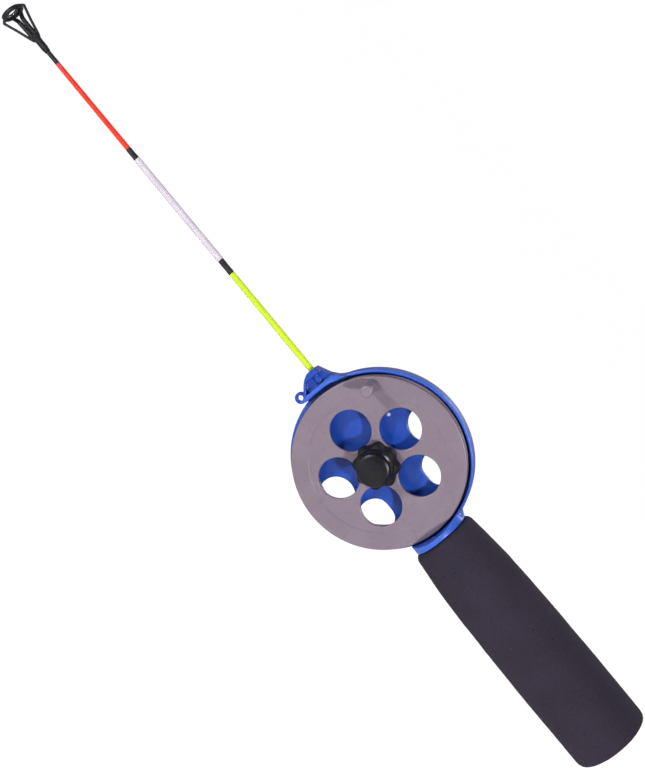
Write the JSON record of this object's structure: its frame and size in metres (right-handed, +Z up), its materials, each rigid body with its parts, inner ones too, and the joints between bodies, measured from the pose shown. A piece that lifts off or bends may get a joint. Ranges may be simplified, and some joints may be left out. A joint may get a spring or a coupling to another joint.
{
  "type": "ice fishing rod",
  "caption": "Short ice fishing rod with an inline spool reel, a star drag knob, a foam grip and a slim three-colour whip ending in a cage tip guide.",
  "frame": {"origin": "the centre of the grip's flat end, on the handle's axis", "axes": "+X from the rod tip towards the handle, the reel's axle along Y with the drag knob towards -Y, +Z up towards the reel's rim wall"},
  "size_m": [0.4015, 0.0386, 0.0798],
  "materials": {
    "blue_plastic": "semi-gloss moulded plastic",
    "eva_foam": "matte closed-cell foam",
    "steel": "zinc plated",
    "brass": "turned",
    "friction_fibre": "pressed fibre",
    "spool_plastic": "satin moulded plastic",
    "black_plastic": "satin moulded plastic",
    "whip_fibreglass": "lacquered fibreglass",
    "lime_tube": "glossy vinyl tube",
    "white_tube": "glossy vinyl tube",
    "red_tube": "glossy vinyl tube",
    "black_shrink": "shrunk tube",
    "guide_black": "black coated wire",
    "ring_ceramic": "polished"
  },
  "bodies": {
    "frame": {"reel_frame": "blue_plastic", "foam_grip": "eva_foam", "axle_bolt": "steel", "spool_bushing": "brass", "rear_washer": "friction_fibre", "front_washer": "friction_fibre", "drag_spring": "steel", "whip_core": "whip_fibreglass", "lime_sleeve": "lime_tube", "lower_band": "black_shrink", "white_sleeve": "white_tube", "upper_band": "black_shrink", "red_sleeve": "red_tube", "tip_wrap": "black_shrink", "tip_guide": "guide_black", "tip_ring_insert": "ring_ceramic"},
    "spool": {"spool": "spool_plastic", "winding_knob_pin": "steel"},
    "winding_knob": {"winding_knob": "spool_plastic"},
    "drag_thrust": {"thrust_washer": "steel"},
    "drag_knob": {"drag_knob": "black_plastic", "knob_insert": "brass"}
  },
  "joints": [
    {"name": "spool_spin", "type": "hinge", "parent": "frame", "child": "spool", "pos_m": [-0.1533, 0, 0], "axis": [0, 1, 0], "continuous": true},
    {"name": "winding_knob_spin", "type": "hinge", "parent": "spool", "child": "winding_knob", "pos_m": [-0.18021, 0, 0.0202], "axis": [0, 1, 0], "continuous": true},
    {"name": "drag_travel", "type": "slide", "parent": "frame", "child": "drag_thrust", "axis": [0, -1, 0], "range_m": [0, 0.0006]},
    {"name": "drag_knob_turn", "type": "hinge", "parent": "drag_thrust", "child": "drag_knob", "pos_m": [-0.1533, 0, 0], "axis": [0, -1, 0], "range_deg": [0, 270]}
  ],
  "couplings": [
    {"joint": "drag_knob_turn", "follows": "drag_travel", "rad_per_m": 7850}
  ]
}
